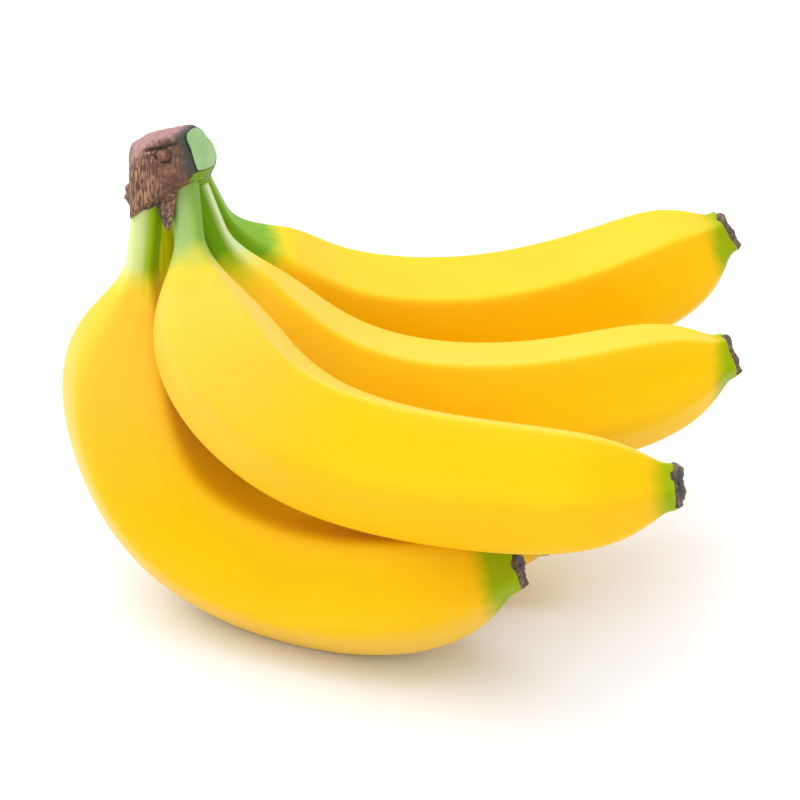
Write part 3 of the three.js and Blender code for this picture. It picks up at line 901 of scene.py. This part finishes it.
# The crown's grid is a ball's; each direction's distance is the block's, with relief, skirts and the cut
def makeCrown():
    shape = crownShape
    middle = np.array(bunchPlan["middle"])
    centre = np.array(shape["centre"]) - middle
    tilt = np.pi * (1 - (np.arange(shape["rows"]) + 0.5) / shape["rows"])[:, None]
    turn = (np.arange(shape["columns"]) * 2 * np.pi / shape["columns"])[None, :]
    level = np.sin(tilt)
    ball = np.stack([level * np.cos(turn), level * np.sin(turn), np.cos(tilt) + 0 * turn], -1)
    foot, head = np.repeat([[[0, 0, -1.0]], [[0, 0, 1.0]]], shape["columns"], 1)
    direction = np.concatenate([foot[None], unit(ball * shape["stretch"]), head[None]])

    # The block: the soft minimum of the distances to its flats
    normals = unit(np.array([flat["out"] for flat in crownFlats.values()], float))
    places = np.array([flat["at"] for flat in crownFlats.values()], float) - middle
    distances = ((places - centre) * normals).sum(-1)
    facing = np.maximum(direction @ normals.T / distances, 0) ** shape["sharpness"]
    weight = dict(zip(crownFlats, np.moveaxis(facing / facing.sum(-1, keepdims=True), -1, 0)))
    block = facing.sum(-1) ** (-1 / shape["sharpness"])
    place = centre + direction * block[..., None]

    # Bark relief: lumps, upright fibres, and a crevice under the lip of the top
    lumps = layeredNoise(place / shape["lumpSize"], 71)
    fibres = layeredNoise(place / shape["fibreSize"], 75)
    grit = layeredNoise(place / shape["gritSize"], 77)
    top = weight["top"] + weight["topLeft"] + weight["topBack"]
    under = weight["bottom"] + weight["bottomBack"]
    topIndex = list(crownFlats).index("top")
    below = distances[topIndex] - (place - centre) @ normals[topIndex]
    cutNormal = unit(np.array(crownCut["out"], float))
    beforeCut = (np.array(crownCut["at"]) - middle - place) @ cutNormal
    lip = np.exp(-(((below - shape["lipDrop"]) / shape["creviceWidth"]) ** 2))
    lip = lip * ease(weight["front"], 0.15, 0.5) * ease(beforeCut, *shape["creviceEnd"])
    bark = 1 - ease(under, 0.3, 0.6)
    straw = ease(place[..., 0] + middle[0], *shape["strawFrom"])
    relief = shape["lumpDepth"] * lumps * (1 - 0.6 * top) * (1 - 0.5 * straw)
    relief = relief + shape["fibreDepth"] * fibres
    radius = block + relief * bark - shape["creviceDepth"] * lip

    # The knot: a low knob inside a ring-shaped groove, pulled about by the lumps
    knotAway = np.linalg.norm(place + middle - shape["knot"], axis=-1) / shape["knotSize"]
    knotAway = knotAway + 0.5 * lumps + 0.3 * grit
    groove = np.exp(-(((knotAway - 1) / shape["grooveWidth"]) ** 2)) * ease(grit, -0.4, 0.3)
    knob = np.exp(-((knotAway / shape["knobWidth"]) ** 2))
    radius = radius + shape["knotDepth"] * (knob - groove)

    # Skirts of bark over the stalks, and a low collar where a bare stalk leaves the green underside
    torn = np.zeros_like(radius)
    for name, plan in bananas.items():
        point, along, outer, side = (value[0] for value in plan["line"].frameAt(np.zeros(1)))
        stalk = plan["radius"] * bunchPlan["neckShare"] * bunchPlan["flatShare"]
        offAxis = place - point
        offAxis = np.linalg.norm(offAxis - (offAxis @ along)[..., None] * along, axis=-1)
        collar = np.exp(-(((offAxis - stalk - 0.3) / shape["collarWidth"]) ** 2))
        radius = radius + shape["collarHeight"] * collar * ease(under, 0.2, 0.5)
        if name not in barkSkirts:
            continue
        skirt = barkSkirts[name]
        line = (point + skirt["lean"], along, outer, side)
        _, down, around = leaveStalk(direction, centre, line, stalk + skirtThickness)
        turned = (around - skirt["facing"] + np.pi) % (2 * np.pi) - np.pi
        turned = np.maximum(turned / skirt["halves"][0], -turned / skirt["halves"][1])
        teeth = skirt["teeth"] * (np.abs((around * 2.1 + 0.3) % 2 - 1) * 2 - 1)  # zigzag round it
        tears = 0.8 * layeredNoise(np.stack([around * 3, down / 3, 0 * down], -1), 81)
        reach = skirt["down"] - skirt["back"] * np.minimum(turned, 1.3) ** skirt["taper"]
        reach = reach + teeth + tears
        edgeShare = 1 - ease(reach - down, 0.2, skirt["dark"])
        inside = np.minimum(reach - down, (down + skirtTop) * 0.8)
        lift = skirtThickness * np.clip(inside / skirtEdge, -2.5, 1)
        lift = lift + skirt["flare"] * np.exp(-((inside / 1.6) ** 2)) * (inside > -0.5)
        sleeveRadius = np.maximum(stalk + lift + 0.25 * fibres, 0.5)
        sleeve, down, _ = leaveStalk(direction, centre, line, sleeveRadius)
        sleeve = np.where((down > -skirtTop) & (lift > -0.9), sleeve, 0)
        straw = np.maximum(straw, ease(sleeve - radius, -0.2, 0.3) * ease(inside, 0.6, 2))
        torn = np.where(sleeve > radius - 0.3, np.maximum(torn, edgeShare), torn)
        radius = softMax(radius, sleeve, 0.6)

    # Bark over the back stalk's root, which stands out of the crown's far end: all round near its
    # top, and further down on the side that faces away
    plan = bananas["banana_4_back"]
    line = [value[0] for value in plan["line"].frameAt(np.zeros(1))]
    stalk = plan["radius"] * bunchPlan["neckShare"]
    _, down, around = leaveStalk(direction, centre, line, stalk + shape["stubBark"])
    facingAway = np.cos(around - np.arctan2(line[3][1], line[2][1]))
    front, back = shape["stubReach"]
    lowest = front + (back - front) * ease(facingAway, 0, 0.6)
    topStart, topEnd = np.array(shape["stubFade"]) - bunchPlan["rootDepth"]
    cover = ease(down, topStart, topEnd) * (1 - ease(down + 0.8 * lumps, lowest - 1.2, lowest))
    stubRadius = stalk - 1 + (shape["stubBark"] + 1 + 0.3 * grit) * cover
    stub, down, _ = leaveStalk(direction, centre, line, stubRadius)
    radius = softMax(radius, np.where((down > topStart) & (down < 1), stub, 0), 0.8)

    # The cut, with a slightly rounded rim
    cutDistance = (np.array(crownCut["at"]) - middle - centre) @ cutNormal
    towards = direction @ cutNormal
    cut = np.where(towards > 0.05, cutDistance / np.maximum(towards, 0.05), 1e3)
    rim = np.clip(radius - cut, -30, 30)
    radius = softMin(radius, cut, shape["cutRound"])
    rings = centre + direction * radius[..., None]

    fresh = under * ease(place[..., 0] + middle[0], *shape["freshFrom"])
    fresh = fresh * ease(place[..., 1] + middle[1], *shape["freshBack"])
    zones = np.stack([rim, fresh, top], -1)
    # The lip and the groove also place the painted shade in those hollows
    marks = np.stack([lip, groove, straw], -1)
    edges = np.stack([0.9 * torn, 0 * torn, 0 * torn], -1)
    named = {"crownZones": zones, "crownShadeAndStraw": marks, "crownTorn": edges}
    attributes = {title: withEnds(values[1:-1], values[[0, -1], 0]) for title, values in named.items()}
    return closedMesh("crown_bark", rings[1:-1], rings[0, 0], rings[-1, 0], attributes)


for plan in bananas.values():
    plan["line"] = Spine(plan["spine"])

peel = peelMaterial()
bark = barkMaterial()
dryFlower = scarMaterial()
print("materials made")

for number, (name, plan) in enumerate(bananas.items(), start=1):
    settle(makeBanana(name, plan, number), peel, name)
    scarName = f"flower_scar_{number}"
    settle(makeScar(scarName + "_dry", plan, number), dryFlower, scarName)
print("fruit made")

settle(makeCrown(), bark, "crown")
print("crown made")


# Floor, light and camera
stageLook = {
    "floorSize": 6.0,  # m
    "floorDrop": 0.05,  # mm below the fruit's flats, so that the faces don't share a plane
    "floor": "#EDF2F9",
    "sky": "#FFFFFF",
    "skyStrength": 1.04,
    "keyPlace": (-0.4, 0.25, 1.1),  # m
    "keySize": 1.9,  # m
    "keyPower": 13.5,  # W
    "keyTarget": (0, 0, 0.06),  # m
    "paperGrain": 900.0,  # cells to a metre
}


# A square sheet of matt paper just under the fruit
def makeFloor():
    half = stageLook["floorSize"] / 2
    low = -stageLook["floorDrop"] * mm
    mesh = bpy.data.meshes.new("pale_floor")
    corners = [(-half, -half, low), (half, -half, low), (half, half, low), (-half, half, low)]
    mesh.from_pydata(corners, [], [(0, 1, 2, 3)])
    floor = bpy.data.objects.new("pale_floor", mesh)
    bpy.context.scene.collection.objects.link(floor)
    material, tree = newMaterial("matt_white_paper")
    place = addNode(tree, "TexCoord").outputs["Object"]
    grain = addNode(tree, "TexNoise", {"Vector": place, "Scale": stageLook["paperGrain"], "Detail": 3.0})
    bump = addNode(tree, "Bump", {"Strength": 0.05, "Distance": 0.1 * mm, "Height": grain.outputs[0]})
    shader = addNode(
        tree, "BsdfPrincipled",
        {"Base Color": linear(stageLook["floor"]), "Roughness": 0.9, "Normal": bump.outputs[0]},
    )
    addNode(tree, "OutputMaterial", {"Surface": shader.outputs[0]})
    mesh.materials.append(material)


# One broad soft light, turned to face the bunch
def makeKeyLight():
    light = bpy.data.lights.new("soft_key", "AREA")
    light.shape = "DISK"
    light.size = stageLook["keySize"]
    light.energy = stageLook["keyPower"]
    lamp = bpy.data.objects.new("soft_key", light)
    lamp.location = stageLook["keyPlace"]
    towards = Vector(stageLook["keyTarget"]) - Vector(stageLook["keyPlace"])
    lamp.rotation_euler = towards.to_track_quat("-Z", "Y").to_euler()
    bpy.context.scene.collection.objects.link(lamp)


# The camera stands off along the picture's line of sight: its elevation above the target
cameraPlan = {
    "target": (-4.16, -18.58, 66.2),  # mm
    "distance": 650,  # mm
    "elevation": 28,  # degrees
    "lens": 106.8,  # mm on a 36 mm sensor
}


def makeCamera():
    plan = cameraPlan
    rise = np.radians(plan["elevation"])
    target = Vector(plan["target"]) * mm
    away = Vector((0, -np.cos(rise), np.sin(rise))) * plan["distance"] * mm
    camera = bpy.data.cameras.new("picture_camera")
    camera.lens = plan["lens"]
    camera.sensor_width = 36
    camera.clip_start = 0.01
    holder = bpy.data.objects.new("picture_camera", camera)
    holder.location = target + away
    holder.rotation_euler = (-away).to_track_quat("-Z", "Y").to_euler()
    bpy.context.scene.collection.objects.link(holder)
    bpy.context.scene.camera = holder


# An even white sky all round
def makeSky():
    world = bpy.data.worlds.new("soft_white_room")
    world.use_nodes = True
    tree = world.node_tree
    tree.nodes.clear()
    sky = addNode(
        tree, "Background", {"Color": linear(stageLook["sky"]), "Strength": stageLook["skyStrength"]}
    )
    addNode(tree, "OutputWorld", {"Surface": sky.outputs[0]})
    bpy.context.scene.world = world


makeFloor()
makeKeyLight()
makeSky()
makeCamera()
bpy.context.scene.view_settings.view_transform = "Standard"
print("stage, lights and camera made")
